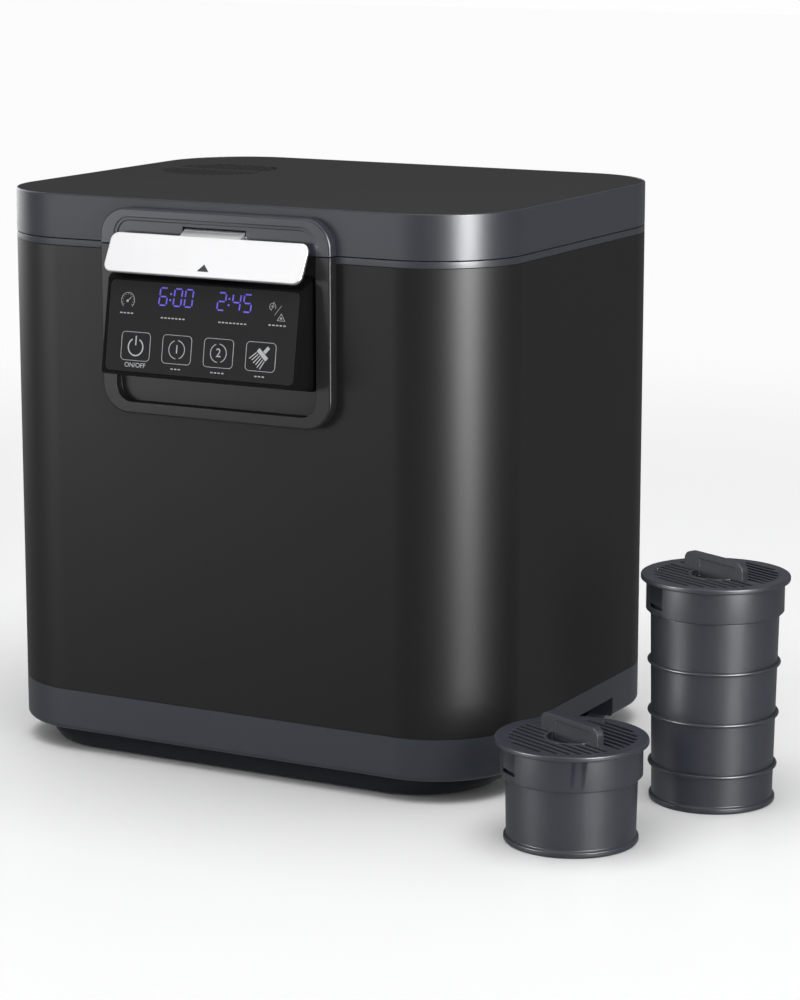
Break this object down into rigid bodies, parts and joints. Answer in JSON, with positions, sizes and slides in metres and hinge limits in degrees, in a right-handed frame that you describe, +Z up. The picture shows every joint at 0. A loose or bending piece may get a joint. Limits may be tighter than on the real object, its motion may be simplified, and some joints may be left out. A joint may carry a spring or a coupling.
{
  "type": "electric food waste composter",
  "caption": "Countertop food waste composter with hinged vented lid, pick-up flap, sloping touch panel, stirred bucket and two slotted filter canisters.",
  "frame": {"origin": "centre of the main unit's footprint on the worktop, under the underside of the plinth", "axes": "+X to the right seen from the front, +Y to the rear, +Z up"},
  "size_m": [0.4741, 0.3271, 0.3355],
  "materials": {
    "slate_plastic": "satin slate grey",
    "shell_black": "satin black",
    "panel_black": "fine matt black",
    "plinth_dark": "matt near-black",
    "bezel_black": "half-gloss black",
    "screen_glass": "smooth dark window",
    "flap_silver": "bright satin silver",
    "foot_rubber": "matt",
    "seal_rubber": "soft grey silicone",
    "ring_rubber": "matt black",
    "inner_plastic": "matt dark grey",
    "liner_plastic": "light grey",
    "board_green": "green circuit board with parts",
    "plated_steel": "zinc-plated sheet",
    "pin_steel": "turned steel",
    "pot_metal": "spun aluminium",
    "bucket_coat": "dark non-stick coat",
    "agitator_metal": "cast aluminium",
    "gear_nylon": "ivory gear nylon",
    "case_alloy": "die-cast alloy",
    "winding_copper": "copper windings",
    "bush_bronze": "sintered bronze",
    "heater_mica": "mica heater",
    "ceramic_white": "ceramic",
    "felt_wool": "needled insulation",
    "carbon_black": "packed carbon pellets"
  },
  "bodies": {
    "housing": {"base_plinth": "plinth_dark", "rubber_feet": "foot_rubber", "load_cells": "plated_steel", "base_ring": "slate_plastic", "body_shell": "shell_black", "top_frame": "slate_plastic", "inner_deck": "inner_plastic", "control_bezel": "bezel_black", "control_pod": "bezel_black", "control_glass": "screen_glass", "display_board": "board_green", "chassis_plate": "plated_steel", "gear_case": "case_alloy", "gear_cover": "case_alloy", "gear_axles": "pin_steel", "shaft_bushes": "bush_bronze", "motor_can": "plated_steel", "motor_stator": "winding_copper", "heater_pot": "pot_metal", "heater_plate": "heater_mica", "thermostat": "ceramic_white", "insulation_jacket": "felt_wool", "filter_bays": "inner_plastic", "air_duct": "inner_plastic", "fan_frame": "inner_plastic", "main_board": "board_green", "power_inlet": "inner_plastic", "hinge_brackets": "slate_plastic", "hinge_pins": "pin_steel", "bucket": "bucket_coat", "bucket_handle": "pin_steel"},
    "lid": {"lid_shell": "slate_plastic", "lid_top_panel": "panel_black", "lid_escutcheon": "slate_plastic", "lid_liner": "liner_plastic", "lid_gasket": "seal_rubber", "lid_hinge_arms": "slate_plastic", "latch_pin": "pin_steel", "latch_spring": "pin_steel"},
    "flap": {"pickup_flap": "flap_silver", "latch_arm": "plated_steel"},
    "agitator_drive": {"output_gear": "gear_nylon", "drive_shaft": "pin_steel", "agitator_spindle": "pin_steel", "agitator": "agitator_metal"},
    "second_gear": {"second_gear": "gear_nylon"},
    "first_gear": {"first_gear": "gear_nylon"},
    "motor_rotor": {"motor_rotor": "pin_steel"},
    "fan": {"fan_impeller": "inner_plastic"},
    "tall_canister": {"tall_canister": "slate_plastic", "tall_carbon": "carbon_black"},
    "tall_seal": {"tall_seal": "ring_rubber"},
    "tall_cap": {"tall_cap": "slate_plastic"},
    "short_canister": {"short_canister": "slate_plastic", "short_carbon": "carbon_black"},
    "short_seal": {"short_seal": "ring_rubber"},
    "short_cap": {"short_cap": "slate_plastic"}
  },
  "joints": [
    {"name": "lid_hinge", "type": "hinge", "parent": "housing", "child": "lid", "pos_m": [0, 0.136, 0.3097], "axis": [-1, 0, 0], "range_deg": [0, 95]},
    {"name": "flap_pull", "type": "hinge", "parent": "lid", "child": "flap", "pos_m": [0, -0.13485, 0.3175], "axis": [-1, 0, 0], "range_deg": [0, 15], "stiffness_Nm_per_rad": 0.6, "springref_deg": -5.73},
    {"name": "motor_spin", "type": "hinge", "parent": "housing", "child": "motor_rotor", "pos_m": [-0.05333, -0.01341, 0.07], "axis": [0, 0, 1], "continuous": true},
    {"name": "first_gear_spin", "type": "hinge", "parent": "housing", "child": "first_gear", "pos_m": [-0.0242, -0.0028, 0.04], "axis": [0, 0, 1], "continuous": true},
    {"name": "second_gear_spin", "type": "hinge", "parent": "housing", "child": "second_gear", "pos_m": [0.00828, -0.02155, 0.03], "axis": [0, 0, 1], "continuous": true},
    {"name": "agitator_spin", "type": "hinge", "parent": "housing", "child": "agitator_drive", "pos_m": [0.0545, 0, 0.1], "axis": [0, 0, 1], "continuous": true},
    {"name": "fan_spin", "type": "hinge", "parent": "housing", "child": "fan", "pos_m": [-0.106, 0.042, 0.16], "axis": [0, 0, 1], "continuous": true},
    {"name": "tall_canister_lift", "type": "slide", "parent": "housing", "child": "tall_canister", "axis": [0, 0, 1], "range_m": [0, 0.15]},
    {"name": "tall_cap_lift", "type": "slide", "parent": "tall_canister", "child": "tall_seal", "axis": [0, 0, 1], "range_m": [0, 0.03]},
    {"name": "tall_cap_twist", "type": "hinge", "parent": "tall_seal", "child": "tall_cap", "pos_m": [0.2669, -0.03565, 0], "axis": [0, 0, 1], "range_deg": [0, 22]},
    {"name": "short_canister_lift", "type": "slide", "parent": "housing", "child": "short_canister", "axis": [0, 0, 1], "range_m": [0, 0.15]},
    {"name": "short_cap_lift", "type": "slide", "parent": "short_canister", "child": "short_seal", "axis": [0, 0, 1], "range_m": [0, 0.03]},
    {"name": "short_cap_twist", "type": "hinge", "parent": "short_seal", "child": "short_cap", "pos_m": [0.2296, -0.14475, 0], "axis": [0, 0, 1], "range_deg": [0, 22]}
  ],
  "couplings": [
    {"joint": "first_gear_spin", "follows": "motor_spin", "ratio": -0.29167},
    {"joint": "second_gear_spin", "follows": "motor_spin", "ratio": 0.088768},
    {"joint": "agitator_spin", "follows": "motor_spin", "ratio": -0.023014}
  ]
}
